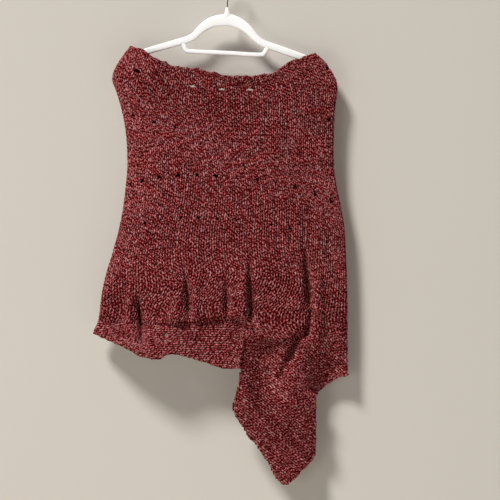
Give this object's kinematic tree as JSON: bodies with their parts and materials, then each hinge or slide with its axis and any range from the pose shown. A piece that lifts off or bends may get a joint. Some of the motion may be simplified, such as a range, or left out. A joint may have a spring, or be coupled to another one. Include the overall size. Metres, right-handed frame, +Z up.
{
  "type": "knitted poncho on hanger",
  "caption": "Chunky knitted pullover poncho with a wide neck, eyelet rows and an uneven hem that drops to a point, hung on a slim plastic hanger.",
  "frame": {"origin": "inside top of the hanger's hook, where a rail goes", "axes": "+X to the viewer's right across the shoulders, +Y from the front of the garment to its back, +Z up"},
  "size_m": [0.5244, 0.0891, 1.0453],
  "materials": {
    "knit": "matte marled wool-like yarn in maroon and rose",
    "plastic": "smooth white moulding",
    "wire": "bright bent wire"
  },
  "bodies": {
    "root": {"neck_band_front": "knit", "neck_band_back": "knit", "body_front": "knit", "body_back": "knit", "border_left": "knit", "border_right": "knit", "border_back": "knit", "border_point": "knit", "hanger": "plastic", "hanger_hook": "wire"}
  },
  "joints": []
}
